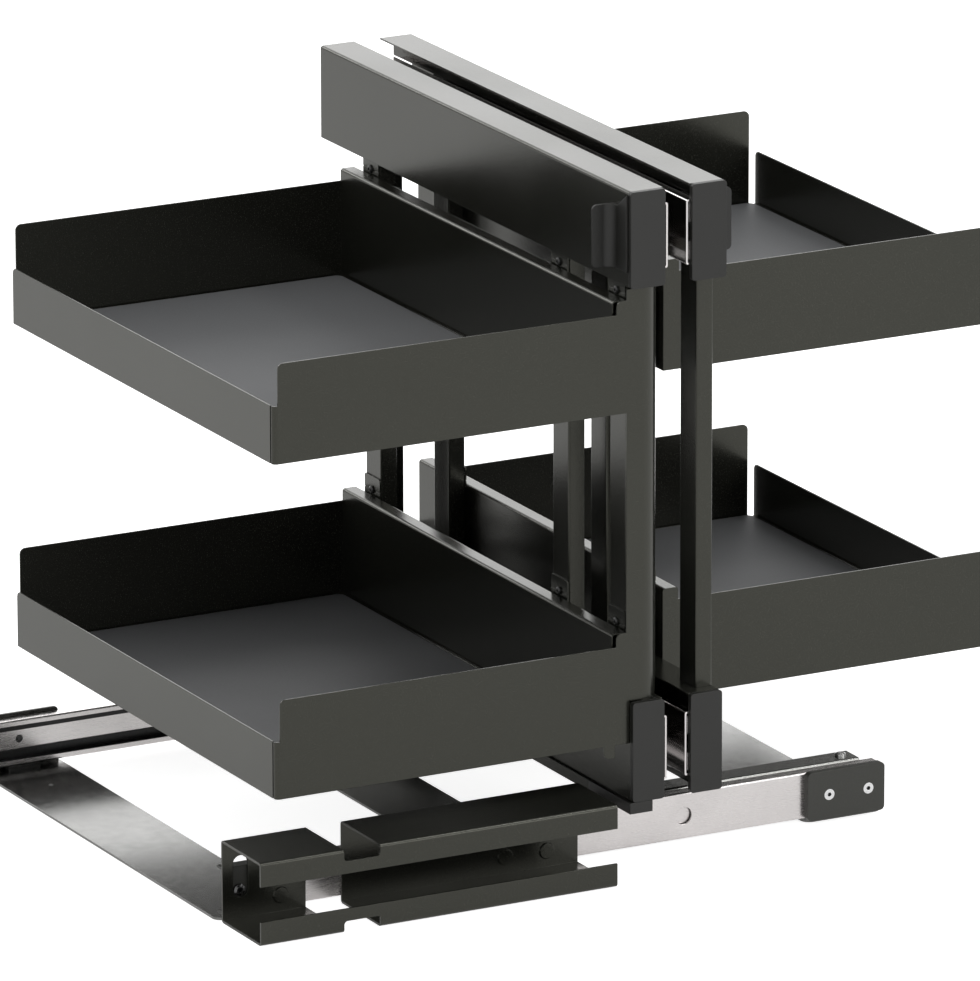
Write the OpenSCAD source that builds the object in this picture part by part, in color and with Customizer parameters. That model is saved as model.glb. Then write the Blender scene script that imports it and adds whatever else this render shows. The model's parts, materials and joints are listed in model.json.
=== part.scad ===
// Blind corner pull out: two tray frames on a sideways carriage over a floor frame.
// X runs to the right along the floor rails, Y runs into the cabinet, Z is up.

/* [Floor rails] */
// Length of both floor rails
rail_l = 590; // [560:1:640]
// Height of a floor rail
rail_h = 38.6; // [38:0.2:39]
// Depth of a floor rail, web to lip face
rail_d = 11; // [11:0.5:13]
// Sheet of a floor rail
rail_t = 1.5; // [1.2:0.1:1.6]
// Height of the rails' underside above the floor
rail_lift = 5.5; // [4:0.1:7]
// Distance between the outer faces of the two rails
rail_spread = 437.4; // [430:0.1:450]
// Left end of the rails
rail_x = 1.5; // [0:0.5:3]
// Width of a rail lip
rail_lip = 3.2; // [2.5:0.1:3.4]
// Radius of the hole in the front rail
rail_hole_r = 7.3; // [5:0.1:9]
// Distance from that hole to the rails' right end
rail_hole_in = 178; // [100:0.5:250]

/* [Front bracket] */
// Length of the folded front bracket
bracket_l = 316; // [290:1:320]
// Depth of the front bracket
bracket_d = 69; // [50:1:80]
// Height of the front bracket
bracket_h = 68; // [60:1:72]
// Sheet of the front bracket
bracket_t = 2; // [1.5:0.1:2.5]
// Height of the two front lips
bracket_lip = 19.5; // [15:0.5:24]
// Outer radius of the folds
bracket_r = 3; // [2:0.5:5]
// Left edge of the gap across the bracket
gap_x = 73; // [60:1:120]
// Width of the gap
gap_w = 32; // [20:1:45]
// Radius of the corners of the gap in the lips
gap_r = 3; // [1:0.5:5]
// Depth of the notches in the lips
notch_d = 9.4; // [6:0.1:12]
// Width of the upright slot
slot_w = 13.1; // [11:0.1:18]
// Height of the upright slot
slot_h = 34.5; // [28:0.5:38]
// Centre of the slot along X
slot_x = 15.8; // [14:0.1:30]
// Radius of the round dimples pressed into the bracket's back
dimple_r = 6.8; // [4:0.1:9]
// How far they stand out
dimple_d = 1.2; // [0.5:0.1:1.5]
// Places of the dimples along X
dimple_x = [51, 250.5, 288]; // [0:0.5:316]
// Heights of the dimples
dimple_z = [15.5, 16, 15.5]; // [0:0.5:68]

/* [Straps] */
// Width of a floor strap
strap_w = 72; // [50:1:90]
// Sheet of a floor strap
strap_t = 2; // [1.5:0.1:3]
// Distance from the rails' left end to the left strap's centre
strap_left_in = 32; // [30:0.5:60]
// Distance from the rails' left end to the middle strap's centre
strap_middle_in = 268.5; // [240:0.5:290]
// Distance from the right strap's centre to the rails' right end
strap_right_in = 28.5; // [25:0.5:70]
// Front end of the straps
strap_y = 4; // [3:0.5:8]
// Radius of a strap's front corners
strap_corner_r = 8; // [4:0.5:12]
// Width of the seats that carry the rails
seat_w = 28; // [20:1:40]
// Radius of the upturned end's corners
tab_corner_r = 4; // [2:0.5:8]
// Radius of the bolt hole in the upturned end and the rear rail
tab_hole_r = 3.3; // [3.2:0.1:4]
// Height of the upturned end behind the rear rail
strap_tab_h = 47.5; // [40:0.5:50]
// Radius of the floor screw holes
floor_hole_r = 2.75; // [2:0.05:3.5]
// Distance of the floor screw holes from the rails' outer faces
floor_hole_y = 60; // [40:1:100]

/* [Rail end pieces] */
// Length of the plastic end piece at the front rail's left end
plug_l = 26; // [24:1:34]
// Wall of that end piece
plug_t = 2; // [1.5:0.1:3]
// How far its spigot reaches into the rail
spigot_l = 6; // [4:1:10]
// Length of the plastic cap on the front rail
cap_l = 70.7; // [50:0.1:75]
// Depth of that cap
cap_d = 6.3; // [5:0.1:8]
// How far it passes the rail's end
cap_over = 3; // [0:0.1:4]
// How far it laps over the rail, above and below
cap_lap = 0.9; // [0:0.1:1]
// How far its screws sit right of its middle
cap_screw_shift = 2.5; // [0:0.1:6]
// Distance between its two screws
cap_screw_gap = 36; // [25:0.5:42]
// Head radius of its screws
cap_screw_r = 4.6; // [3.5:0.1:5.5]
// Depth of their countersink
cap_sink = 2.4; // [2.2:0.1:3]
// Radius of its outer corners
cap_corner_r = 4; // [2:0.5:8]

/* [Carriage] */
// Distance from the side angles' right end to the rails' right end, carriage at the left
angle_end = 10.5; // [5:0.5:20]
// Length of the side angles
angle_l = 322; // [300:1:330]
// Sheet of the side angles
angle_t = 2; // [1.5:0.1:2.5]
// Width of the angles' top flange
angle_w = 21.7; // [18:0.1:30]
// Height of the two cross bars
bar_h = 9; // [7:0.1:9]
// Height of the bars' underside above the rails
bar_lift = 1.3; // [1.2:0.1:1.4]
// Width of the near cross bar
near_bar_w = 20.3; // [14:0.1:24]
// Distance from the centre line to the near cross bar's outer edge
near_bar_out = 42.8; // [41.5:0.1:54]
// Width of the centre cross bar
centre_bar_w = 16; // [15:0.1:20]
// Rear end of the cross bars
bar_y1 = 486; // [482:1:490]
// Distances of the angles' screws from their left and right ends
angle_screw_in = [11, 10.5]; // [8:0.5:20]
// Distance of those screws from the angle's leg
angle_screw_u = 12.7; // [10:0.1:16]
// Length of the shoe on the near bar
shoe_l = 69.4; // [40:0.1:90]
// How far the shoe's spigot reaches into the bar
shoe_spigot_l = 20; // [10:1:40]
// Wall of the cross bars
bar_wall = 1.5; // [1:0.1:2]

/* [Centre posts] */
// Centre line between the two frames
centre_x = 389.5; // [387:0.5:392]
// Width of a post
post_w = 15; // [12:0.1:15.5]
// Depth of a post
post_d = 27; // [20:0.5:28]
// Wall of a post
post_wall = 1.5; // [1:0.1:2]
// Front face of the front centre post
centre_post_y = 71; // [60:0.5:90]
// Front face of the rear centre post
rear_post_y = 454; // [440:0.5:460]

/* [Drawer slides] */
// Height of a slide
slide_h = 53; // [50:0.5:56]
// Sheet of a slide
slide_t = 1.6; // [1.2:0.1:1.8]
// Distance between the webs of the near and far slides
slide_apart = 16.4; // [15:0.1:16.6]
// Depth of the outer member's flanges
slide_outer_d = 8; // [6:0.5:9]
// Front end of the slides
slide_y0 = -30; // [-31:0.5:-28]
// Rear end of the slides
slide_y1 = 498; // [488:1:499]
// Distance from the top slides' centre to the frames' top
slide_drop = 39; // [37:0.1:43]
// Distance from the frames' underside to the bottom slides' centre
slide_rise = 41.1; // [36:0.1:45]
// How far the ball rows stop before the slides' ends, front and rear
row_stop = [20, 60]; // [10:1:100]

/* [Frames] */
// Distance from the centre line to a frame's inner edge
cover_in = 12; // [11.5:0.1:14]
// Distance from the centre line to a frame's posts
post_in = 24; // [23.5:0.1:26]
// Sheet of the covers
cover_t = 1.2; // [0.8:0.1:1.5]
// Distance from the centre line to the top covers' outer faces
top_out = 42.8; // [42.3:0.1:45]
// Height of the top covers
top_cover_h = 77.6; // [74:0.1:78]
// Height of the bottom covers
bottom_cover_h = 82.4; // [76:0.1:84]
// How far the top end caps reach below their covers
cap_drop = 0.9; // [0:0.1:4]
// Top of the frames
frame_top = 556.2; // [550:0.1:560]
// Underside of the frames
frame_bottom = 54.7; // [54.6:0.1:56]
// Rear end of the covers
cover_y1 = 501.5; // [500:0.1:505]
// Front face of the end caps
frame_y0 = -33.1; // [-34:0.1:-32]
// Thickness of the end caps
frame_cap_t = 4.4; // [3:0.1:6]
// Front face of the front posts
front_post_y = -18.5; // [-24:0.5:-18]
// Front face of the middle posts
middle_post_y = 77.5; // [72:0.5:110]
// Front face of the back posts
back_post_y = 404; // [380:0.5:410]
// Outer radius of the covers' folds
cover_r = 2.5; // [1.5:0.1:3]
// Height of the channels above and below the posts
channel_h = 14.3; // [12:0.1:16]

/* [Side buffers] */
// How far a buffer's fin stands out from its cover
buffer_out = 19.5; // [15:0.5:25]
// Height of the fin
buffer_h = 51; // [30:1:60]
// Underside of the fin above the cover's lower edge
buffer_lift = 12.4; // [8:0.1:18]
// Front face of the fin
buffer_y = -5.5; // [-10:0.5:0]
// Wall of a buffer
buffer_t = 2; // [1.5:0.1:3]
// Radius of the curve between the fin and the part that lies on the cover
buffer_r = 8; // [4:0.5:10]
// How far that part reaches above and below the fin at the front
buffer_flare = 11; // [4:0.5:12]

/* [Trays] */
// Underside of the lower trays
lower_tray_z = 103; // [95:0.5:106]
// Gap between an upper tray's hollow wall and the top cover
cover_gap = 11.5; // [11:0.1:40]
// Sheet of the trays
tray_t = 1.2; // [0.8:0.1:1.5]
// Height of the front lip and back wall
tray_h = 81; // [70:0.5:86]
// Height of the outer side wall
side_h = 46.8; // [30:0.5:60]
// Width of the hollow inner wall
box_w = 14.1; // [10:0.1:18]
// Height of the hollow inner wall
box_h = 91.3; // [88:0.1:96]
// Gap between the frame's cover and the hollow inner wall
box_gap = 0.3; // [0.3:0.05:0.5]
// Outer edge of the near trays from the centre line
near_out = 354.8; // [330:0.1:356]
// Front of the near trays' hollow wall
near_box_y = -24; // [-25:0.5:-22]
// Back wall of the near trays
near_back_y = 444; // [440:0.5:460]
// Outer edge of the far trays from the centre line
far_out = 355.6; // [340:0.1:380]
// Front lip of the far trays
far_front_y = 66.5; // [60:0.5:74]
// Back wall of the far trays
far_back_y = 486; // [450:0.5:500]
// How far the near trays' hollow wall stops before the back wall
near_box_short = 5.7; // [4:0.1:12]
// How far the far trays' hollow wall stops before the back wall
far_box_short = 1.6; // [1:0.1:14]
// Length of the plug that closes the hollow wall's rear end
plug_d = 5; // [3:0.1:5.6]
// Rounding of the folded tray edges
tray_r = 2.5; // [1.5:0.1:3]
// Rounding of the walls' upper corners
corner_r = 5; // [3:0.5:8]
// Step between the side wall and the back wall's end
open_corner = 5; // [4:0.5:10]
// Thickness of the floor mats
mat_t = 1; // [0.6:0.1:2]
// Gap between a mat and the walls round it
mat_edge = 3; // [1:0.5:6]
// Radius of the mats' corners
mat_corner_r = 6; // [3:0.5:10]

/* [Near front panel] */
// Front face of the near front panel
panel_y = -27.5; // [-29:0.1:-27]
// Where the panel's strip turns back, from the centre line
panel_turn = 28; // [26.5:0.5:30]
// Radius of that turn
panel_r = 17.5; // [14:0.5:18]
// Height of the panel's shoulders above the lips
shoulder_h = 10.9; // [8:0.1:12]
// Where the strip's outer edge lies, from the centre line
strip_edge = 43.5; // [42:0.1:50]
// Width of the shoulders above the lips
shoulder_w = 9; // [6:0.5:12]
// The tongue's place beside the strip and its width
tongue_in = 10; // [9:0.5:12]
tongue_w = 10; // [6:0.5:20]
// Length of the tongue below the lower lip
tongue_h = 10.4; // [6:0.1:16]
// Gap between the strip and the covers above and below it
strip_gap = 1; // [0.5:0.1:2]
// Outer radius of the bend at the arms' free end
arm_r = 4; // [3:0.5:6]
// Gap between that bend and the tray's side wall
arm_gap = 1.8; // [0.5:0.1:2]

/* [Clips] */
// Sheet of the tray clips
clip_t = 1.3; // [1:0.1:1.3]
// Height of a clip above its tray's hollow wall
clip_h = 15; // [14:0.5:22]
// How far a clip reaches down behind the hollow wall
clip_down = 30; // [20:1:50]
// Radius of a clip's corners
clip_corner_r = 2; // [1:0.5:4]
// Head radius of the clip screws
clip_screw_r = 3.4; // [3:0.1:4]
// Gap between those screws and the box below them
clip_screw_gap = 0.3; // [0.2:0.1:1]

/* [Clearances] */
// Gap between parts that slide past each other
run_gap = 0.3; // [0.3:0.05:0.5]
// Gap round a screw in its hole
hole_gap = 0.2; // [0.15:0.05:0.3]
// Width of the space that a row of balls runs in
ball_space = 2.3; // [2:0.1:2.6]

/* [Hidden] */
$fn = 48;
eps = 1;
anthracite = [0.30, 0.30, 0.28];
plastic = [0.25, 0.25, 0.24];
silver = [0.85, 0.84, 0.83];
steel = [0.66, 0.66, 0.65];
mat_grey = [0.44, 0.45, 0.46];
bright = [0.9, 0.9, 0.9];

// Floor frame
rail_top = rail_lift + rail_h;
rail_mid = rail_lift + rail_h / 2;
rail_x1 = rail_x + rail_l;
strap_y1 = rail_spread + strap_t;
lip_in = rail_h / 2 - rail_t - rail_lip;
bolt_r = 4.9;
bolt_shank_r = 3;
screw_shank_r = 2.5;
clip_shank_r = 2;
slot_bolt_x = slot_x - 0.6;
plug_bolt_l = rail_d - 4;
dimples = [for (i = [0:len(dimple_x) - 1]) [dimple_x[i], dimple_z[i]]];
strap_left_x = rail_x + strap_left_in;
strap_middle_x = rail_x + strap_middle_in;
strap_right_x = rail_x1 - strap_right_in;

// Telescopic parts inside the floor rails, as distances from the rail's web and middle
cage_t = 0.8;
cage_u = rail_t + run_gap;
cage_in = 8;
cage_leg = 1.7;
cage_top = rail_h / 2 - rail_t - run_gap;
mid_u = cage_u + cage_t + run_gap;
mid_half = cage_top - cage_leg - run_gap;
mid_d = rail_d - rail_t - run_gap - mid_u;
mid_t = 1.4;
inner_half = mid_half - mid_t - ball_space;
leg_y = rail_d + run_gap;
inner_d = 6;
cage_run = 77.5;
middle_l = 0.67 * rail_l;
row_r = ball_space / 2 - run_gap;

// Carriage
angle_x = rail_x1 - angle_end - angle_l;
bar_z = rail_top + bar_lift;
angle_top = bar_z;
bar_top = bar_z + bar_h;
angle_back = rail_spread - leg_y;
angle_leg_z = rail_lift + 5;
near_bar_x = centre_x - near_bar_out;
screw_x = [angle_x + angle_screw_in[0], angle_x + angle_l - angle_screw_in[1]];

// Slides, as distances from the centre line
slide_top_z = frame_top - slide_drop;
slide_bottom_z = frame_bottom + slide_rise;
out_u = slide_apart / 2;
middle_u = out_u + slide_t + 1.2;
slide_inner_t = slide_t;
middle_half = slide_h / 2 - slide_t - ball_space;
slide_inner_half = middle_half - slide_t - ball_space;
middle_d = 8.7;
slide_inner_d = 10.8;
cap_back = frame_y0 + frame_cap_t;

// Frames, as distances from the centre line
post_out = post_in + post_w;
cover_web = post_out + 0.1;
cover_out = cover_web + cover_t;
top_cover_z = frame_top - top_cover_h;
bottom_cover_top = frame_bottom + bottom_cover_h;
posts_top = frame_top - cover_t - channel_h;
sill_z = frame_bottom + 0.4;
posts_bottom = sill_z + channel_h;

// Trays
box_in = cover_out + box_gap;
box_out = box_in + box_w;
tray_zs = [lower_tray_z, top_cover_z - cover_gap - box_h];
near_posts = [front_post_y, middle_post_y, back_post_y];
far_posts = [middle_post_y, back_post_y];
clip_screw_z = box_h + clip_screw_r + clip_screw_gap;
fold_d = 0.5;
fold_w = 0.8;

// Origin: middle of the outline, at floor level
x_min = strap_left_x - strap_w / 2;
x_max = centre_x + far_out;
origin = [(x_min + x_max) / 2, (cover_y1 - bracket_d) / 2, 0];

// A block from one corner to the opposite one
module block(a, b) {
    translate(a) cube(b - a);
}

// Outline drawn in X and Z, drawn out along Y
module along_y(y0, y1) {
    translate([0, y1, 0]) rotate([90, 0, 0]) linear_extrude(y1 - y0) children();
}

// Outline drawn in Y and Z, drawn out along X
module along_x(x0, x1) {
    translate([x0, 0, 0]) rotate([90, 0, 90]) linear_extrude(x1 - x0) children();
}

// What a rounded corner takes away: the corner is at the origin, sx and sy point outwards
module corner_off(sx, sy, r) {
    difference() {
        translate([sx > 0 ? -r : -eps, sy > 0 ? -r : -eps]) square(r + eps);
        translate([-sx * r, -sy * r]) circle(r);
    }
}

// Rectangle with round corners
module soft_rect(w, h, r) {
    translate([r, 0]) square([w - 2 * r, h]);
    translate([0, r]) square([w, h - 2 * r]);
    for (x = [r, w - r], y = [r, h - r]) translate([x, y]) circle(r);
}

// Seat every piece on the shared origin
module placed() {
    translate(-origin) children();
}

// The near frame is the mirror image of the far one about the centre line
module on_side(near) {
    placed() translate([centre_x, 0, 0]) mirror([near ? 1 : 0, 0, 0]) children();
}

// The rear rail and its parts face the front ones
module at_rail(rear) {
    placed() translate([0, rear ? rail_spread : 0, 0]) mirror([0, rear ? 1 : 0, 0]) children();
}

module bracket_profile() {
    difference() {
        translate([-bracket_d, 0]) square([bracket_d, bracket_h]);
        translate([-bracket_d + bracket_t, bracket_t])
            square([bracket_d - 2 * bracket_t, bracket_h - 2 * bracket_t]);
        translate([-bracket_d - eps, bracket_lip])
            square([bracket_t + 2 * eps, bracket_h - 2 * bracket_lip]);
        translate([-bracket_d, 0]) corner_off(-1, -1, bracket_r);
        translate([-bracket_d, bracket_h]) corner_off(-1, 1, bracket_r);
        translate([0, 0]) corner_off(1, -1, bracket_r);
        translate([0, bracket_h]) corner_off(1, 1, bracket_r);
    }
}

module front_bracket() {
    placed() color(anthracite) difference() {
        union() {
            along_x(0, bracket_l) bracket_profile();
            for (p = dimples) translate([p.x, -bracket_t, p.y]) rotate([90, 0, 0])
                cylinder(r1 = dimple_r, r2 = dimple_r - dimple_d / 2, h = dimple_d);
        }
        block([gap_x, bracket_t - bracket_d, -eps], [gap_x + gap_w, eps, bracket_h + eps]);
        along_y(-bracket_d - eps, bracket_t - bracket_d + eps)
            for (z = [-notch_d, bracket_h - notch_d]) translate([gap_x, z]) soft_rect(gap_w, 2 * notch_d, gap_r);
        along_y(-bracket_t - eps, eps)
            translate([slot_x - slot_w / 2, bracket_lip - 0.5]) soft_rect(slot_w, slot_h, slot_w / 2 - 0.01);
        for (p = dimples) translate([p.x, eps, p.y]) rotate([90, 0, 0])
            cylinder(r = dimple_r - bracket_t / 2, h = eps + dimple_d);
    }
}

module strap(x, tab_h) {
    placed() color(steel) difference() {
        union() {
            translate([x - strap_w / 2, strap_y]) linear_extrude(strap_t)
                difference() {
                    square([strap_w, strap_y1 - strap_y]);
                    corner_off(-1, -1, strap_corner_r);
                    translate([strap_w, 0]) corner_off(1, -1, strap_corner_r);
                }
            along_y(rail_spread, strap_y1) translate([x - strap_w / 2, 0]) difference() {
                square([strap_w, tab_h]);
                translate([0, tab_h]) corner_off(-1, 1, tab_corner_r);
                translate([strap_w, tab_h]) corner_off(1, 1, tab_corner_r);
            }
            for (y = [strap_y + 1, rail_spread - rail_d])
                block([x - seat_w / 2, y, strap_t], [x + seat_w / 2, y + rail_d - strap_y, rail_lift]);
        }
        for (y = [floor_hole_y, rail_spread - floor_hole_y])
            translate([x, y, -eps]) cylinder(r = floor_hole_r, h = strap_t + 2 * eps);
        translate([x, strap_y1 + eps, rail_mid]) rotate([90, 0, 0])
            cylinder(r = tab_hole_r, h = strap_t + 2 * eps);
    }
}

module left_strap() {
    strap(strap_left_x, strap_tab_h);
}

module middle_strap() {
    strap(strap_middle_x, strap_tab_h);
}

// The cross bars pass over the right strap's end, so it stays below the rail's top
module right_strap() {
    strap(strap_right_x, rail_top);
}

module rail_profile() {
    difference() {
        translate([0, rail_lift]) square([rail_d, rail_h]);
        translate([rail_t, rail_lift + rail_t]) square([rail_d - 2 * rail_t, rail_h - 2 * rail_t]);
        translate([rail_t, rail_mid - lip_in]) square([rail_d, 2 * lip_in]);
        translate([0, rail_lift]) corner_off(-1, -1, rail_t);
        translate([0, rail_top]) corner_off(-1, 1, rail_t);
        translate([rail_d, rail_lift]) corner_off(1, -1, rail_t);
        translate([rail_d, rail_top]) corner_off(1, 1, rail_t);
    }
}

module floor_rail(rear) {
    at_rail(rear) color(silver) difference() {
        along_x(rear ? rail_x : rail_x + plug_l, rail_x1) rail_profile();
        if (rear) for (x = [strap_left_x, strap_middle_x, strap_right_x])
            translate([x, rail_t + eps, rail_mid]) rotate([90, 0, 0])
                cylinder(r = tab_hole_r, h = rail_t + 2 * eps);
        if (!rear) translate([rail_x1 - rail_hole_in, rail_t + eps, rail_mid])
            rotate([90, 0, 0]) cylinder(r = rail_hole_r, h = rail_t + 2 * eps);
        if (!rear) for (x = cap_screw_x()) translate([x, rail_t + eps, rail_mid])
            rotate([90, 0, 0]) cylinder(r = screw_shank_r + hole_gap, h = rail_t + 2 * eps);
    }
}

module front_rail() {
    floor_rail(false);
}

module rear_rail() {
    floor_rail(true);
}

function cap_x1() = rail_x1 + cap_over;
function cap_screw_x() = [for (s = [-1, 1]) cap_x1() - cap_l / 2 + cap_screw_shift + s * cap_screw_gap / 2];

// Plastic pieces at the front rail's ends: an end piece of the rail's own outline at its left end, with a screw hole
// and a spigot that reaches into the rail, and a cap with countersunk holes in front of its right end
module rail_end_caps() {
    placed() color(plastic) difference() {
        union() {
            along_x(rail_x, rail_x + plug_l) difference() {
                translate([0, rail_lift]) square([rail_d, rail_h]);
                translate([plug_t, rail_lift + plug_t]) square([rail_d, rail_h - 2 * plug_t]);
            }
            block([slot_bolt_x - bolt_r, 0, rail_lift], [rail_x + plug_l, rail_d, rail_top]);
            block([rail_x + plug_l - eps, cage_u, rail_lift + rail_t + hole_gap],
                [rail_x + plug_l + spigot_l, rail_d - cage_u, rail_top - rail_t - hole_gap]);
        }
        along_y(-eps, plug_bolt_l + eps) translate([slot_bolt_x, rail_mid]) circle(bolt_shank_r + hole_gap);
    }
    placed() color(plastic) difference() {
        along_y(-cap_d, 0) translate([cap_x1() - cap_l, rail_lift - cap_lap]) soft_rect(cap_l, rail_h + 2 * cap_lap, cap_corner_r);
        for (x = cap_screw_x()) translate([x, 0, rail_mid]) rotate([90, 0, 0]) {
            translate([0, 0, -eps]) cylinder(r = screw_shank_r + hole_gap, h = cap_d + 2 * eps);
            translate([0, 0, cap_d - cap_sink]) cylinder(r1 = screw_shank_r + hole_gap, r2 = cap_screw_r + hole_gap, h = cap_sink);
            translate([0, 0, cap_d - 0.01]) cylinder(r = cap_screw_r + hole_gap, h = eps);
        }
    }
}

// Countersunk screw along +Z with its face at z = 0 and a six-sided socket
module countersunk(r, shank_r, l) {
    difference() {
        union() {
            translate([0, 0, -2.2]) cylinder(r1 = shank_r, r2 = r, h = 2.2);
            translate([0, 0, -l]) cylinder(r = shank_r, h = l - 2.1);
        }
        translate([0, 0, -1.6]) cylinder(r = 0.4 * r, h = 3, $fn = 6);
    }
}

// Button head screw along +Z with its seat at z = 0
module button(r, shank_r, l) {
    difference() {
        union() {
            translate([0, 0, -l]) cylinder(r = shank_r, h = l + 0.1);
            cylinder(r = r, h = 0.35 * r);
            translate([0, 0, 0.35 * r]) cylinder(r1 = r, r2 = 0.6 * r, h = 0.2 * r);
        }
        translate([0, 0, 0.25 * r]) cylinder(r = 0.4 * r, h = r, $fn = 6);
    }
}

module base_screws() {
    placed() color(bright) {
        for (x = cap_screw_x()) translate([x, -cap_d, rail_mid]) rotate([90, 0, 0])
            countersunk(cap_screw_r, screw_shank_r, cap_d + rail_t + 0.2);
        translate([slot_bolt_x, 0, rail_mid]) rotate([90, 0, 0]) button(bolt_r, bolt_shank_r, plug_bolt_l);
        for (x = [strap_left_x, strap_middle_x, strap_right_x])
            translate([x, strap_y1, rail_mid]) rotate([-90, 0, 0]) button(bolt_r, bolt_shank_r, strap_t + rail_t + 0.2);
    }
}

// Dark ball cages lying in the floor rails
module cage_profile() {
    for (s = [-1, 1]) translate([0, rail_mid]) scale([1, s]) {
        translate([cage_u, cage_in]) square([cage_t, cage_top - cage_in]);
        translate([cage_u, cage_top - cage_leg]) square([mid_d, cage_leg]);
    }
}

module rail_ball_cages() {
    for (rear = [false, true]) at_rail(rear) color(plastic)
        along_x(rail_x + (rear ? 2.5 : plug_l + spigot_l + 1), rail_x1 - cage_run - 2.5) cage_profile();
}

// Middle member of a floor slide, with the two ball rows that carry the inner member
module rail_middle(rear) {
    at_rail(rear) color(silver) {
        along_x(rail_x1 - middle_l - 4, rail_x1 - 4) difference() {
            translate([mid_u, rail_mid - mid_half]) square([mid_d, 2 * mid_half]);
            translate([mid_u + mid_t, rail_mid - mid_half + mid_t]) square([mid_d, 2 * (mid_half - mid_t)]);
        }
        for (s = [-1, 1])
            translate([angle_x + row_stop[0], mid_u + mid_d / 2 + 1, rail_mid + s * (inner_half + ball_space / 2)])
                rotate([0, 90, 0]) cylinder(r = row_r, h = angle_l - 2 * row_stop[0]);
    }
}

module front_rail_middle() {
    rail_middle(false);
}

module rear_rail_middle() {
    rail_middle(true);
}

module rail_inner(rear) {
    at_rail(rear) color(silver) along_x(angle_x + 2, angle_x + angle_l - 2) difference() {
        translate([leg_y - inner_d, rail_mid - inner_half]) square([inner_d, 2 * inner_half]);
        translate([leg_y - inner_d - eps, rail_mid - inner_half + mid_t])
            square([inner_d - mid_t + eps, 2 * (inner_half - mid_t)]);
    }
}

module front_rail_inner() {
    rail_inner(false);
}

module rear_rail_inner() {
    rail_inner(true);
}

module side_angle(rear) {
    at_rail(rear) color(anthracite) difference() {
        along_x(angle_x, angle_x + angle_l) difference() {
            translate([leg_y, angle_leg_z]) square([angle_w, angle_top - angle_leg_z]);
            translate([leg_y + angle_t, angle_leg_z - eps]) square([angle_w, angle_top - angle_t - angle_leg_z + eps]);
            translate([leg_y, angle_top]) corner_off(-1, 1, angle_t);
        }
        for (x = screw_x) translate([x, leg_y + angle_screw_u, angle_top - angle_t - eps])
            cylinder(r = screw_shank_r + hole_gap, h = angle_t + 2 * eps);
    }
}

module carriage_front_angle() {
    side_angle(false);
}

module carriage_rear_angle() {
    side_angle(true);
}

module carriage_screws() {
    for (rear = [false, true]) at_rail(rear) color(bright)
        for (x = screw_x) translate([x, leg_y + angle_screw_u, angle_top]) button(cap_screw_r, screw_shank_r, angle_t + 3);
}

module cross_bar(x, w, y0, y1) {
    difference() {
        block([x, y0, bar_z], [x + w, y1, bar_top]);
        block([x + bar_wall, y0 - eps, bar_z + bar_wall], [x + w - bar_wall, y1 + eps, bar_top - bar_wall]);
    }
}

module carriage_near_bar() {
    placed() color(anthracite) cross_bar(near_bar_x, near_bar_w, frame_y0 + shoe_l, bar_y1);
}

// Solid shoe with a spigot inside the bar
module carriage_bar_shoe() {
    spigot = bar_wall + hole_gap;
    placed() color(plastic) {
        block([near_bar_x, frame_y0, bar_z], [near_bar_x + near_bar_w, frame_y0 + shoe_l, bar_top]);
        block([near_bar_x + spigot, frame_y0 + shoe_l - eps, bar_z + spigot],
            [near_bar_x + near_bar_w - spigot, frame_y0 + shoe_l + shoe_spigot_l, bar_top - spigot]);
    }
}

module carriage_centre_bar() {
    placed() color(anthracite)
        cross_bar(centre_x - centre_bar_w / 2, centre_bar_w, leg_y, bar_y1);
}

// Upright rectangular tube
module tube(x, y, w, z0, z1, holes) {
    difference() {
        translate([x, y, z0]) linear_extrude(z1 - z0) difference() {
            soft_rect(w, post_d, post_wall);
            translate([post_wall, post_wall]) square([w - 2 * post_wall, post_d - 2 * post_wall]);
        }
        for (z = holes) translate([x + w - post_wall - eps, y + post_d / 2, z])
            rotate([0, 90, 0]) cylinder(r = clip_shank_r + hole_gap, h = post_wall + 2 * eps);
    }
}

module centre_post(y) {
    placed() color(anthracite)
        tube(centre_x - out_u, y, slide_apart, bar_top, slide_top_z + slide_h / 2, []);
}

module centre_front_post() {
    centre_post(centre_post_y);
}

module centre_rear_post() {
    centre_post(rear_post_y);
}

// Fixed member of a slide. Its flanges stop behind the end caps, which stand in front of them.
module slide_outer(near, z) {
    on_side(near) color(silver) difference() {
        along_y(slide_y0, slide_y1) translate([out_u, z - slide_h / 2]) difference() {
            square([slide_outer_d, slide_h]);
            translate([slide_t, slide_t]) square([slide_outer_d, slide_h - 2 * slide_t]);
            corner_off(-1, -1, slide_t);
            translate([0, slide_h]) corner_off(-1, 1, slide_t);
        }
        block([cover_in - run_gap, slide_y0 - eps, z - slide_h],
            [cover_in + slide_outer_d, cap_back + run_gap, z + slide_h]);
    }
}

// Middle member of a slide, with its four ball rows
module slide_middle(near, z) {
    row_u = [middle_u + 3, middle_u + middle_d - 3];
    row_z = [middle_half + ball_space / 2, slide_inner_half + ball_space / 2];
    row_y = [cap_back + row_stop[0], slide_y1 - row_stop[1]];
    on_side(near) color(silver) {
        difference() {
            along_y(slide_y0 + 1, slide_y1 - 3) translate([middle_u, z - middle_half]) difference() {
                square([middle_d, 2 * middle_half]);
                translate([slide_t - 0.2, slide_t]) square([middle_d, 2 * (middle_half - slide_t)]);
            }
            block([cover_in - run_gap, slide_y0 - eps, z - slide_h],
                [post_in, cap_back + run_gap, z + slide_h]);
            block([out_u, slide_y0 - eps, z - 8], [post_in, slide_y0 + 10, z + 8]);
        }
        for (s = [-1, 1], i = [0, 1])
            translate([row_u[i], row_y[0], z + s * row_z[i]]) rotate([-90, 0, 0])
                cylinder(r = row_r, h = row_y[1] - row_y[0]);
    }
}

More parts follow.
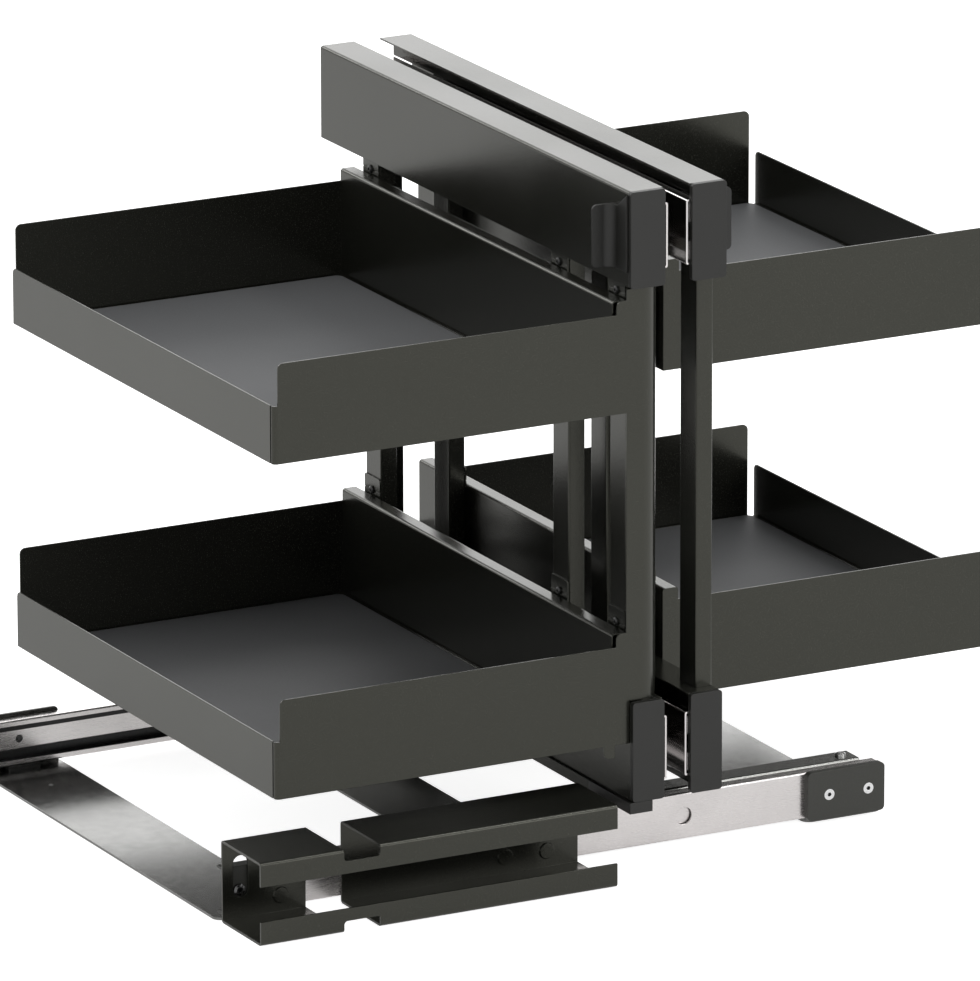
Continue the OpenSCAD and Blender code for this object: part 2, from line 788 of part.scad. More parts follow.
// Inner members, fixed to the frame's posts
module slide_inners(near) {
    on_side(near) color(silver) for (z = [slide_bottom_z, slide_top_z])
        along_y(cap_back + run_gap, slide_y1) translate([post_in - slide_inner_d, z - slide_inner_half])
            difference() {
                square([slide_inner_d, 2 * slide_inner_half]);
                translate([-eps, slide_t]) square([slide_inner_d - slide_t + eps, 2 * (slide_inner_half - slide_t)]);
            }
}

module near_top_slide_outer() {
    slide_outer(true, slide_top_z);
}

module near_bottom_slide_outer() {
    slide_outer(true, slide_bottom_z);
}

module far_top_slide_outer() {
    slide_outer(false, slide_top_z);
}

module far_bottom_slide_outer() {
    slide_outer(false, slide_bottom_z);
}

module near_top_slide_middle() {
    slide_middle(true, slide_top_z);
}

module near_bottom_slide_middle() {
    slide_middle(true, slide_bottom_z);
}

module far_top_slide_middle() {
    slide_middle(false, slide_top_z);
}

module far_bottom_slide_middle() {
    slide_middle(false, slide_bottom_z);
}

module near_slide_inners() {
    slide_inners(true);
}

module far_slide_inners() {
    slide_inners(false);
}

// Channel that joins the posts, open towards the cover
module post_channel(near, z) {
    on_side(near) color(anthracite) difference() {
        block([post_in, cap_back, z], [post_out - 1, cover_y1 - 1, z + channel_h]);
        block([post_in + cover_t, cap_back - eps, z + cover_t],
            [post_out, cover_y1, z + channel_h - cover_t]);
    }
}

module near_head_channel() {
    post_channel(true, posts_top);
}

module near_sill_channel() {
    post_channel(true, sill_z);
}

module far_head_channel() {
    post_channel(false, posts_top);
}

module far_sill_channel() {
    post_channel(false, sill_z);
}

module frame_post(near, y, drilled) {
    on_side(near) color(anthracite)
        tube(post_in, y, post_w, posts_bottom, posts_top, drilled ? [for (z = tray_zs) z + clip_screw_z] : []);
}

module near_front_post() {
    frame_post(true, front_post_y, true);
}

module near_middle_post() {
    frame_post(true, middle_post_y, true);
}

module near_back_post() {
    frame_post(true, back_post_y, true);
}

module far_front_post() {
    frame_post(false, front_post_y, false);
}

module far_middle_post() {
    frame_post(false, middle_post_y, true);
}

module far_back_post() {
    frame_post(false, back_post_y, true);
}

// Folded cover: an outer web with a flange over the top
module cover_profile(z0, h, out) {
    difference() {
        translate([cover_in, z0]) square([out - cover_in, h]);
        translate([cover_in - eps, z0 - eps]) square([out - cover_t - cover_in + eps, h - cover_t + eps]);
        translate([out, z0 + h]) corner_off(1, 1, cover_r);
    }
}

module top_cover(near) {
    on_side(near) color(anthracite)
        along_y(cap_back, cover_y1) cover_profile(top_cover_z, top_cover_h, top_out);
}

module near_top_cover() {
    top_cover(true);
}

module far_top_cover() {
    top_cover(false);
}

// The posts pass through the lower cover's flange
module bottom_cover(near) {
    on_side(near) color(anthracite) difference() {
        along_y(cap_back, cover_y1) cover_profile(frame_bottom, bottom_cover_h, cover_out);
        for (y = near_posts)
            block([post_in - run_gap, y - run_gap, bottom_cover_top - cover_t - eps],
                [cover_web, y + post_d + run_gap, bottom_cover_top + eps]);
    }
}

module near_bottom_cover() {
    bottom_cover(true);
}

module far_bottom_cover() {
    bottom_cover(false);
}

module end_caps(near) {
    on_side(near) color(plastic) along_y(frame_y0, cap_back) {
        translate([cover_in, top_cover_z - cap_drop])
            soft_rect(top_out - cover_in, top_cover_h + cap_drop, cover_r);
        translate([cover_in, frame_bottom]) soft_rect(cover_out - cover_in, bottom_cover_h, cover_r);
    }
}

module near_end_caps() {
    end_caps(true);
}

module far_end_caps() {
    end_caps(false);
}

// Moulded buffer seen from above: a strip on the cover that curves out into a fin
module buffer_outline() {
    difference() {
        square([buffer_t + buffer_r, buffer_y + buffer_t - cap_back]);
        translate([buffer_t + buffer_r, buffer_y - buffer_r - cap_back]) circle(buffer_r);
        translate([buffer_t, -eps]) square([buffer_r + eps, buffer_y - buffer_r - cap_back + eps]);
    }
    translate([buffer_t + buffer_r - eps, buffer_y - cap_back]) square([buffer_out - buffer_t - buffer_r + eps, buffer_t]);
}

// The strip on the cover widens towards the end cap; the fin has round outer corners
module side_buffer(near) {
    flat_l = buffer_y - buffer_r - cap_back;
    on_side(near) color(plastic) translate([top_out, cap_back, top_cover_z + buffer_lift]) intersection() {
        linear_extrude(buffer_h + buffer_flare) buffer_outline();
        union() {
            rotate([90, 0, 90]) linear_extrude(buffer_t + eps) polygon([
                [-eps, 0], [-eps, buffer_h + buffer_flare], [0, buffer_h + buffer_flare], [flat_l, buffer_h],
                [flat_l + buffer_r + 2 * buffer_t, buffer_h], [flat_l + buffer_r + 2 * buffer_t, 0]]);
            along_y(-eps, flat_l + buffer_r + 2 * buffer_t) difference() {
                square([buffer_out, buffer_h]);
                translate([buffer_out, 0]) corner_off(1, -1, buffer_t * 2);
                translate([buffer_out, buffer_h]) corner_off(1, 1, buffer_t * 2);
            }
        }
    }
}

module near_side_buffer() {
    side_buffer(true);
}

module far_side_buffer() {
    side_buffer(false);
}

// Tray folded from sheet, with a hollow inner wall that is open below.
// y0 is where the floor starts, side_y0 where the side wall starts, box_y0 and box_y1 are the hollow wall's ends.
module tray_shell(out, y0, side_y0, y_back, box_y0, box_y1) {
    linear_extrude(tray_t) difference() {
        translate([box_out - tray_t, y0]) square([out - box_out + tray_t, y_back - y0]);
        translate([out - open_corner, y_back - open_corner]) square(open_corner + eps);
        translate([out - arm_r - hole_gap, y0 - eps]) square([arm_r + hole_gap + eps, side_y0 - y0 + eps]);
    }
    along_x(out - tray_t, out) difference() {
        translate([side_y0, 0]) square([y_back - open_corner - side_y0, side_h]);
        translate([y_back - open_corner, side_h]) corner_off(1, 1, corner_r);
    }
    along_y(y_back - tray_t, y_back) difference() {
        translate([box_in, 0]) square([out - open_corner - box_in, tray_h]);
        translate([out - open_corner, tray_h]) corner_off(1, 1, corner_r);
    }
    along_y(box_y0, box_y1 + eps) difference() {
        box_outline();
        translate([box_in + tray_t, -eps]) square([box_w - 2 * tray_t, box_h - tray_t + eps]);
    }
    along_y(box_y1, box_y1 + plug_d) box_outline();
}

// The hollow wall's outline, with round upper edges
module box_outline() {
    difference() {
        translate([box_in, 0]) square([box_w, box_h]);
        translate([box_in, box_h]) corner_off(-1, 1, tray_r);
        translate([box_out, box_h]) corner_off(1, 1, tray_r);
    }
}

module near_tray(z) {
    on_side(true) color(anthracite) translate([0, 0, z])
        tray_shell(near_out, panel_y + tray_t, panel_y + arm_r + arm_gap,
            near_back_y, near_box_y, near_back_y - near_box_short);
}

module near_upper_tray() {
    near_tray(tray_zs[1]);
}

module near_lower_tray() {
    near_tray(tray_zs[0]);
}

// Lip with a round bend at its free end; seen from above its front face is at y
module bent_arm(out, y, z) {
    translate([out - arm_r, y + arm_r, z]) linear_extrude(side_h) bend(arm_r, tray_t, 1);
}

// The far trays carry their own front lip, which runs on to the hollow wall
module far_tray(z) {
    on_side(false) color(anthracite) translate([0, 0, z]) {
        tray_shell(far_out, far_front_y, far_front_y + arm_r, far_back_y, far_front_y, far_back_y - far_box_short);
        along_y(far_front_y, far_front_y + tray_t) difference() {
            translate([box_out - tray_t, 0]) square([far_out - arm_r - box_out + tray_t, tray_h]);
            translate([far_out - arm_r, tray_h]) corner_off(1, 1, corner_r);
        }
        bent_arm(far_out, far_front_y, 0);
        block([box_in + tray_t, far_front_y, 0], [box_out - tray_t, far_front_y + tray_t, box_h - tray_t]);
    }
}

module far_upper_tray() {
    far_tray(tray_zs[1]);
}

module far_lower_tray() {
    far_tray(tray_zs[0]);
}

// Floor mats, one on each tray
module tray_mats(near, out, y0, y_back) {
    on_side(near) color(mat_grey) for (z = tray_zs)
        translate([box_out + mat_edge, y0 + mat_edge, z + tray_t]) linear_extrude(mat_t)
            soft_rect(out - box_out - 2 * mat_edge - tray_t, y_back - y0 - 2 * mat_edge - tray_t, mat_corner_r);
}

module near_tray_mats() {
    tray_mats(true, near_out, panel_y + tray_t, near_back_y);
}

module far_tray_mats() {
    tray_mats(false, far_out, far_front_y + tray_t, far_back_y);
}

// Clips on the posts' outer faces; each holds one tray's hollow wall and has a fold line at its screw
module tray_clips(near, posts) {
    on_side(near) color(anthracite) for (z = tray_zs, y = posts) difference() {
        along_x(post_out, post_out + clip_t) translate([y, z + box_h - clip_down])
            soft_rect(post_d, clip_down + clip_h, clip_corner_r);
        translate([post_out + clip_t - fold_d, y - eps, z + clip_screw_z - fold_w / 2])
            cube([fold_d + eps, post_d + 2 * eps, fold_w]);
        translate([post_out - eps, y + post_d / 2, z + clip_screw_z]) rotate([0, 90, 0])
            cylinder(r = clip_shank_r + hole_gap, h = clip_t + 2 * eps);
    }
}

module near_tray_clips() {
    tray_clips(true, near_posts);
}

module far_tray_clips() {
    tray_clips(false, far_posts);
}

module clip_screws(near, posts) {
    on_side(near) color(bright) for (z = tray_zs, y = posts)
        translate([post_out + clip_t, y + post_d / 2, z + clip_screw_z]) rotate([0, 90, 0])
            button(clip_screw_r, clip_shank_r, clip_t + post_wall + 2);
}

module near_clip_screws() {
    clip_screws(true, near_posts);
}

module far_clip_screws() {
    clip_screws(false, far_posts);
}

// Quarter of a bent sheet seen along the bend, with its middle at the origin
module bend(r, t, sx) {
    intersection() {
        difference() {
            circle(r);
            circle(r - t);
        }
        translate([sx > 0 ? 0 : -r, -r]) square(r);
    }
}

// One folded sheet: two front lips and the upright strip that joins them
module near_front_panel() {
    strip_z0 = bottom_cover_top + strip_gap;
    strip_z1 = top_cover_z - cap_drop - strip_gap;
    arm_out = near_out - arm_r;
    on_side(true) color(anthracite) {
        along_y(panel_y, panel_y + tray_t) {
            for (z = tray_zs) difference() {
                translate([strip_edge, z]) square([arm_out - strip_edge, tray_h]);
                translate([arm_out, z + tray_h]) corner_off(1, 1, corner_r);
            }
            translate([panel_turn, strip_z0]) square([strip_edge - panel_turn, strip_z1 - strip_z0]);
            translate([box_in, lower_tray_z]) square([strip_edge - box_in + tray_t, strip_z0 - lower_tray_z + eps]);
            for (z = tray_zs) translate([strip_edge, z + tray_h]) difference() {
                square([shoulder_w, shoulder_h]);
                translate([shoulder_w, shoulder_h]) corner_off(1, 1, corner_r);
            }
            translate([strip_edge + tongue_in, lower_tray_z - tongue_h]) difference() {
                square([tongue_w, tongue_h]);
                translate([tongue_w, 0]) corner_off(1, -1, corner_r);
            }
        }
        translate([panel_turn, panel_y + panel_r, strip_z0])
            linear_extrude(strip_z1 - strip_z0) bend(panel_r, tray_t, -1);
        for (z = tray_zs) bent_arm(near_out, panel_y, z);
    }
}

front_bracket();
left_strap();
middle_strap();
right_strap();
front_rail();
rear_rail();
rail_end_caps();
base_screws();
rail_ball_cages();
front_rail_middle();
rear_rail_middle();
front_rail_inner();
rear_rail_inner();
carriage_front_angle();
carriage_rear_angle();
carriage_near_bar();
carriage_bar_shoe();
carriage_centre_bar();
centre_front_post();
centre_rear_post();
carriage_screws();
near_top_slide_outer();
near_bottom_slide_outer();
far_top_slide_outer();
far_bottom_slide_outer();
near_top_slide_middle();
near_bottom_slide_middle();
far_top_slide_middle();
far_bottom_slide_middle();
near_slide_inners();
near_head_channel();
near_sill_channel();
near_front_post();
near_middle_post();
near_back_post();
near_top_cover();
near_bottom_cover();
near_end_caps();
near_side_buffer();
near_upper_tray();
near_lower_tray();
near_tray_mats();
near_tray_clips();
near_clip_screws();
near_front_panel();
far_slide_inners();
far_head_channel();
far_sill_channel();
far_front_post();
far_middle_post();
far_back_post();
far_top_cover();
far_bottom_cover();
far_end_caps();
far_side_buffer();
far_upper_tray();
far_lower_tray();
far_tray_mats();
far_tray_clips();
far_clip_screws();
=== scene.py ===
import json
import math

import bpy
from mathutils import Matrix, Vector


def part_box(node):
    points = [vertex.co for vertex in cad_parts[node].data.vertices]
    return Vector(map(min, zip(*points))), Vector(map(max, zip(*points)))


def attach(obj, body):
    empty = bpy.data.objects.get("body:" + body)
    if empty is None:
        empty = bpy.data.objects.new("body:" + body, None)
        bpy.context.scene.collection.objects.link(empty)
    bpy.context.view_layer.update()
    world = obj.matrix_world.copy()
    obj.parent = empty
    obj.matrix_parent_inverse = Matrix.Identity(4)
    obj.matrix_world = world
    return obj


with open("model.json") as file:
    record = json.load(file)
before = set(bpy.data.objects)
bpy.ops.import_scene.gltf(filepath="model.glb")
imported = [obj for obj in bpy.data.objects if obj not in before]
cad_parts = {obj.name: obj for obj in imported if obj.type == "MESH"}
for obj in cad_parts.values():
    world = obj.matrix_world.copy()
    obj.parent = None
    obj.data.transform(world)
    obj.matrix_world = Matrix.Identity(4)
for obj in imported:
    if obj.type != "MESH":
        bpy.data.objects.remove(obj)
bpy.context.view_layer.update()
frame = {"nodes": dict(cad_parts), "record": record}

# Camera of the photograph: a long lens at the left front, looking a little down
VIEW_YAW = math.radians(27.788)
VIEW_DROP = math.radians(16.326)
VIEW_ROLL = math.radians(-0.113)
CAMERA_PLACE = Vector((-4.31507, -8.15324, 2.94807))
LENS_MM = 436.7
SENSOR_MM = 36.0
SEEN_TO = 100

# Finishes, as linear colours
SHEET_DARK = (0.0105, 0.0108, 0.0086)
SHEET_FLECK = (0.055, 0.055, 0.046)
SHEET_SHEEN = (1.0, 1.0, 0.87)
PLASTIC_DARK = (0.0095, 0.0095, 0.0080)
END_CAP_GREY = (0.0340, 0.0345, 0.0290)
MAT_GREY = (0.135, 0.138, 0.142)
ZINC_LIGHT = (0.63, 0.602, 0.595)
ZINC_DARK = (0.56, 0.536, 0.530)
# Brighter copy of the same zinc for the rear rail: painted reflection, for the stronger light its
# front face mirrors
REAR_ZINC_PAINTED_REFLECTION_LIGHT = (0.86, 0.83, 0.82)
REAR_ZINC_PAINTED_REFLECTION_DARK = (0.79, 0.76, 0.75)
STRAP_LIGHT = (0.185, 0.185, 0.178)
STRAP_DARK = (0.150, 0.150, 0.144)
ROLLED_LIGHT = (0.26, 0.26, 0.25)
ROLLED_DARK = (0.22, 0.22, 0.21)
SCREW_STEEL = (0.72, 0.72, 0.72)
SCREW_DARK = (0.020, 0.020, 0.020)
BOLT_GREY = (0.12, 0.12, 0.12)
BALL_STEEL = (0.78, 0.78, 0.79)
CAGE_BLACK = (0.008, 0.008, 0.008)

# Radius of softly rounded edges on sheet, on mouldings and on screws, in metres
EDGE_ROUND = 0.0005
MOULDED_ROUND = 0.0008
SCREW_ROUND = 0.0002
EDGE_SAMPLES = 6
# Most noise lies between these two values
NOISE_LOW = 0.3
NOISE_HIGH = 0.7
# The base screw left of this X is the bolt in the bracket's slot
BOLT_LEFT_OF = -0.2
# Painted shade darkens recesses within this reach, between an open and a closed share of the sky,
# down to a shade
PAINTED_SHADE_REACH = 0.0025
PAINTED_SHADE_SAMPLES = 8
PAINTED_SHADE_OPEN = 0.90
PAINTED_SHADE_CLOSED = 0.55
PAINTED_SHADE_DEEPEST = 0.03

# Balls of the drawer slides: radius, pitch and mesh
BALL_R = 0.00108
BALL_PITCH = 0.0065
BALL_SEGMENTS = 14
BALL_RINGS = 9
SMOOTH_BELOW = math.radians(40)
# Their cage collars start at this share of the radius, are this long and end nearly flat
COLLAR_FROM = 0.75
COLLAR_L = 0.0006
COLLAR_FLATNESS = 0.2
# The slides around them: space for a ball, sheet, radius of a row's bar, row to the member's side
BALL_SPACE = 0.0023
SLIDE_SHEET = 0.0016
ROW_BAR_R = 0.00085
ROW_IN = 0.003
TOUCH = 0.0001

# Studio: strengths of the white surroundings and of the floor's glow, the floor, what the lamps face
SKY_LIGHT = 0.55
FLOOR_GLOW_SEEN = 0.86
FLOOR_GLOW_MIRRORED = 0.47
FLOOR_SIZE = 60
FLOOR_DROP = 0.0005
FLOOR_WHITE = (0.8, 0.8, 0.8)
FLOOR_ROUGHNESS = 0.9
LAMP_AIM = Vector((0, 0, 0.3))
# Name, place, size and watts of each lamp
SOFTBOXES = (
    ("back_softbox", (3.6, 6.9, 3.0), (9.0, 4.0), 136),
    ("top_softbox", (-1.0, -1.0, 5.0), (4.0, 4.0), 60),
    ("front_softbox", (3.4, -5.0, 2.6), (2.4, 2.4), 66),
    ("ridge_softbox", (2.2, -1.4, 4.5), (0.8, 0.8), 22),
    ("edge_softbox", (-2.4, 7.2, 3.9), (1.6, 1.6), 50),
)


def new_material(name):
    """A material with a Principled shader, and its node tree."""
    material = bpy.data.materials.new(name)
    material.use_nodes = True
    tree = material.node_tree
    shader = tree.nodes["Principled BSDF"]
    return material, tree, shader


def object_noise(tree, scale, detail=2.0, roughness=0.5, stretch=(1, 1, 1)):
    """Noise in Object coordinates; stretch draws it out along an axis."""
    coords = tree.nodes.new("ShaderNodeTexCoord")
    mapping = tree.nodes.new("ShaderNodeMapping")
    mapping.inputs["Scale"].default_value = stretch
    noise = tree.nodes.new("ShaderNodeTexNoise")
    noise.inputs["Scale"].default_value = scale
    noise.inputs["Detail"].default_value = detail
    noise.inputs["Roughness"].default_value = roughness
    tree.links.new(coords.outputs["Object"], mapping.inputs["Vector"])
    tree.links.new(mapping.outputs["Vector"], noise.inputs["Vector"])
    return noise.outputs["Fac"]


def ramp(tree, fac, stops):
    """Colour ramp through (place, colour) stops."""
    node = tree.nodes.new("ShaderNodeValToRGB")
    elements = node.color_ramp.elements
    for i, (place, colour) in enumerate(stops):
        element = elements[i] if i < 2 else elements.new(place)
        element.position = place
        element.color = (*colour, 1)
    tree.links.new(fac, node.inputs["Fac"])
    return node.outputs["Color"]


def two_tone(tree, fac, dark, light):
    """Colour that follows noise from dark to light."""
    return ramp(tree, fac, [(NOISE_LOW, dark), (NOISE_HIGH, light)])


def shaded(colour, factor):
    """A colour times a factor."""
    return tuple(factor * c for c in colour)


def spread(tree, fac, low, high):
    """Maps noise onto low to high."""
    node = tree.nodes.new("ShaderNodeMapRange")
    node.inputs["From Min"].default_value = NOISE_LOW
    node.inputs["From Max"].default_value = NOISE_HIGH
    node.inputs["To Min"].default_value = low
    node.inputs["To Max"].default_value = high
    tree.links.new(fac, node.inputs["Value"])
    return node.outputs["Result"]


def relief(tree, shader, height, strength, distance, edge=EDGE_ROUND):
    """Bump over softly rounded edges."""
    edges = tree.nodes.new("ShaderNodeBevel")
    edges.samples = EDGE_SAMPLES
    edges.inputs["Radius"].default_value = edge
    bump = tree.nodes.new("ShaderNodeBump")
    bump.inputs["Strength"].default_value = strength
    bump.inputs["Distance"].default_value = distance
    tree.links.new(height, bump.inputs["Height"])
    tree.links.new(edges.outputs["Normal"], bump.inputs["Normal"])
    tree.links.new(bump.outputs["Normal"], shader.inputs["Normal"])


def powder_coat():
    """Anthracite powder coat: near black, glossy at a low angle, with a fine mottled fleck."""
    material, tree, shader = new_material("powder_coat")
    fleck = object_noise(tree, 1100, 2.0, 0.7)
    colour = ramp(tree, fleck, [(0.45, SHEET_DARK), (0.60, SHEET_DARK), (0.74, SHEET_FLECK)])
    tree.links.new(colour, shader.inputs["Base Color"])
    tree.links.new(spread(tree, object_noise(tree, 9, 3.0), 0.20, 0.26), shader.inputs["Roughness"])
    shader.inputs["IOR"].default_value = 1.5
    shader.inputs["Specular Tint"].default_value = (*SHEET_SHEEN, 1)
    relief(tree, shader, object_noise(tree, 420, 2.0, 0.6), 0.10, 0.0004)
    return material


def moulded_plastic(name, colour):
    """Matt moulded plastic with a fine spark texture."""
    material, tree, shader = new_material(name)
    grain = object_noise(tree, 900, 3.0)
    tone = ramp(tree, grain, [(0.35, shaded(colour, 0.85)), (0.65, colour)])
    tree.links.new(tone, shader.inputs["Base Color"])
    shader.inputs["Specular IOR Level"].default_value = 0.44
    tree.links.new(spread(tree, object_noise(tree, 12, 2.0), 0.42, 0.50), shader.inputs["Roughness"])
    relief(tree, shader, grain, 0.12, 0.0004, MOULDED_ROUND)
    return material


def tray_mat():
    """Grey mat on the tray floors."""
    material, tree, shader = new_material("tray_mat")
    grain = object_noise(tree, 1100, 2.0)
    tone = ramp(tree, grain, [(0.4, shaded(MAT_GREY, 0.9)), (0.6, MAT_GREY)])
    tree.links.new(tone, shader.inputs["Base Color"])
    tree.links.new(spread(tree, object_noise(tree, 6, 2.0), 0.52, 0.60), shader.inputs["Roughness"])
    shader.inputs["Specular IOR Level"].default_value = 0.20
    relief(tree, shader, grain, 0.10, 0.0003)
    return material


def zinc_steel(name, dark, light):
    """Bright zinc plated rails: soft clouds and fine rolling lines along the rail."""
    material, tree, shader = new_material(name)
    clouds = object_noise(tree, 22, 3.0, 0.6)
    tree.links.new(two_tone(tree, clouds, dark, light), shader.inputs["Base Color"])
    lines = object_noise(tree, 60, 3.0, 0.6, (1, 25, 25))
    tree.links.new(spread(tree, lines, 0.22, 0.30), shader.inputs["Roughness"])
    shader.inputs["Metallic"].default_value = 1.0
    relief(tree, shader, lines, 0.01, 0.0001)
    return material


def drawn_steel():
    """Smooth cold drawn steel of the drawer slides, close to a mirror."""
    material, tree, shader = new_material("drawn_steel")
    lines = object_noise(tree, 40, 3.0, 0.6, (30, 1, 30))
    tree.links.new(two_tone(tree, lines, ZINC_DARK, ZINC_LIGHT), shader.inputs["Base Color"])
    tree.links.new(spread(tree, lines, 0.07, 0.12), shader.inputs["Roughness"])
    shader.inputs["Metallic"].default_value = 1.0
    relief(tree, shader, lines, 0.003, 0.0001)
    return material


def rolled_steel(name, dark, light):
    """Smooth rolled steel of the floor straps and the carriage's front angle."""
    material, tree, shader = new_material(name)
    clouds = object_noise(tree, 14, 2.0, 0.5)
    tree.links.new(two_tone(tree, clouds, dark, light), shader.inputs["Base Color"])
    tree.links.new(spread(tree, object_noise(tree, 120, 2.0), 0.16, 0.20), shader.inputs["Roughness"])
    shader.inputs["Metallic"].default_value = 1.0
    relief(tree, shader, object_noise(tree, 90, 2.0), 0.01, 0.0001)
    return material


def screw_finish(name, colour, metallic):
    """Plated or blackened screws, or steel balls, with a fine turned grain."""
    material, tree, shader = new_material(name)
    grain = object_noise(tree, 800, 2.0)
    tree.links.new(two_tone(tree, grain, shaded(colour, 0.8), colour), shader.inputs["Base Color"])
    tree.links.new(spread(tree, grain, 0.20, 0.30), shader.inputs["Roughness"])
    shader.inputs["Metallic"].default_value = metallic
    relief(tree, shader, grain, 0.03, 0.0002, SCREW_ROUND)
    return material


def mixed(tree, factor, first, second, blend="MIX"):
    """Two shader colours mixed; a factor that is a plain number is set on the node."""
    mix = tree.nodes.new("ShaderNodeMixRGB")
    mix.blend_type = blend
    if isinstance(factor, (int, float)):
        mix.inputs["Fac"].default_value = factor
    else:
        tree.links.new(factor, mix.inputs["Fac"])
    tree.links.new(first, mix.inputs["Color1"])
    tree.links.new(second, mix.inputs["Color2"])
    return mix.outputs["Color"]


def painted_shade_in_recesses(tree, colour):
    """Paints shade into a colour inside narrow recesses."""
    openness = tree.nodes.new("ShaderNodeAmbientOcclusion")
    openness.samples = PAINTED_SHADE_SAMPLES
    openness.inputs["Distance"].default_value = PAINTED_SHADE_REACH
    shade = tree.nodes.new("ShaderNodeMapRange")
    shade.inputs["From Min"].default_value = PAINTED_SHADE_CLOSED
    shade.inputs["From Max"].default_value = PAINTED_SHADE_OPEN
    shade.inputs["To Min"].default_value = PAINTED_SHADE_DEEPEST
    tree.links.new(openness.outputs["AO"], shade.inputs["Value"])
    return mixed(tree, 1.0, colour, shade.outputs["Result"], "MULTIPLY")


def base_screw_finish():
    """Plated screws with painted shade in their recesses; the bolt in the bracket's slot, at the far
    left, is a darker grey.
    """
    material, tree, shader = new_material("base_screw_steel")
    grain = object_noise(tree, 800, 2.0)
    plated = two_tone(tree, grain, shaded(SCREW_STEEL, 0.8), SCREW_STEEL)
    grey = two_tone(tree, grain, shaded(BOLT_GREY, 0.7), BOLT_GREY)
    coords = tree.nodes.new("ShaderNodeTexCoord")
    split = tree.nodes.new("ShaderNodeSeparateXYZ")
    tree.links.new(coords.outputs["Object"], split.inputs["Vector"])
    left = tree.nodes.new("ShaderNodeMath")
    left.operation = "LESS_THAN"
    left.inputs[1].default_value = BOLT_LEFT_OF
    tree.links.new(split.outputs["X"], left.inputs[0])
    colour = mixed(tree, left.outputs[0], plated, grey)
    # Painted shade darkens the colour inside the screws' recesses
    tree.links.new(painted_shade_in_recesses(tree, colour), shader.inputs["Base Color"])
    tree.links.new(spread(tree, grain, 0.20, 0.30), shader.inputs["Roughness"])
    shader.inputs["Metallic"].default_value = 1.0
    relief(tree, shader, grain, 0.03, 0.0002, SCREW_ROUND)
    return material


def cage_plastic():
    """Black ball cages with a light grease sheen."""
    material, tree, shader = new_material("cage_plastic")
    grain = object_noise(tree, 500, 2.0)
    tone = ramp(tree, grain, [(0.4, CAGE_BLACK), (0.7, shaded(CAGE_BLACK, 2.5))])
    tree.links.new(tone, shader.inputs["Base Color"])
    tree.links.new(spread(tree, grain, 0.30, 0.45), shader.inputs["Roughness"])
    relief(tree, shader, grain, 0.05, 0.0003)
    return material


def dress_nodes():
    """Gives every CAD node its own finish, or else the finish of its material slot."""
    finishes = {
        "dark_sheet": powder_coat(),
        "dark_plastic": moulded_plastic("moulded_plastic", PLASTIC_DARK),
        "cage_plastic": cage_plastic(),
        "slide_steel": zinc_steel("zinc_steel", ZINC_DARK, ZINC_LIGHT),
        "strap_steel": rolled_steel("strap_steel", STRAP_DARK, STRAP_LIGHT),
        "screws": screw_finish("screw_steel", SCREW_STEEL, 1.0),
        "dark_screws": screw_finish("screw_black", SCREW_DARK, 0.0),
        "tray_mat": tray_mat(),
    }
    own_finishes = {
        "base_screws": base_screw_finish(),
        "rail_end_caps": moulded_plastic("end_cap_plastic", END_CAP_GREY),
        # The rear rail's brighter zinc is painted reflection
        "rear_rail": zinc_steel("rear_zinc_painted_reflection", REAR_ZINC_PAINTED_REFLECTION_DARK, REAR_ZINC_PAINTED_REFLECTION_LIGHT),
        "carriage_front_angle": rolled_steel("rolled_steel", ROLLED_DARK, ROLLED_LIGHT),
    }
    drawer_slide_finish = drawn_steel()
    slots = {part["node"]: part["material_slot"] for part in frame["record"]["subparts"]}
    for name, node in frame["nodes"].items():
        finish = own_finishes.get(name, finishes[slots[name]])
        if slots[name] == "slide_steel" and "rail" not in name:
            finish = drawer_slide_finish
        node.data.materials.clear()
        node.data.materials.append(finish)


def steel_ball():
    """One bearing ball with the collars of its cage, at the origin, its row along Y."""
    bpy.ops.object.select_all(action="DESELECT")
    bpy.ops.mesh.primitive_uv_sphere_add(segments=BALL_SEGMENTS, ring_count=BALL_RINGS, radius=BALL_R,
                                         rotation=(math.pi / 2, 0, 0))
    ball = bpy.context.object
    bpy.ops.object.transform_apply(rotation=True)
    for side in (1, -1):
        bpy.ops.object.mode_set(mode="EDIT")
        bpy.ops.mesh.select_mode(type="FACE")
        bpy.ops.mesh.select_all(action="DESELECT")
        bpy.ops.object.mode_set(mode="OBJECT")
        for face in ball.data.polygons:
            face.select = side * face.center.y > COLLAR_FROM * BALL_R
        bpy.ops.object.mode_set(mode="EDIT")
        bpy.ops.mesh.extrude_region_move(TRANSFORM_OT_translate={"value": (0, side * COLLAR_L, 0)})
        end = (0, side * (BALL_R + COLLAR_L), 0)
        bpy.ops.transform.resize(value=(1, COLLAR_FLATNESS, 1), center_override=end)
        bpy.ops.object.mode_set(mode="OBJECT")
    bpy.ops.object.shade_smooth_by_angle(angle=SMOOTH_BELOW)
    return ball


def line_up(piece, step, count):
    """Repeats a piece along a step."""
    row = piece.modifiers.new("row", "ARRAY")
    row.count = count
    row.use_relative_offset = False
    row.use_constant_offset = True
    row.constant_offset_displace = step
    bpy.context.view_layer.objects.active = piece
    bpy.ops.object.modifier_apply(modifier=row.name)


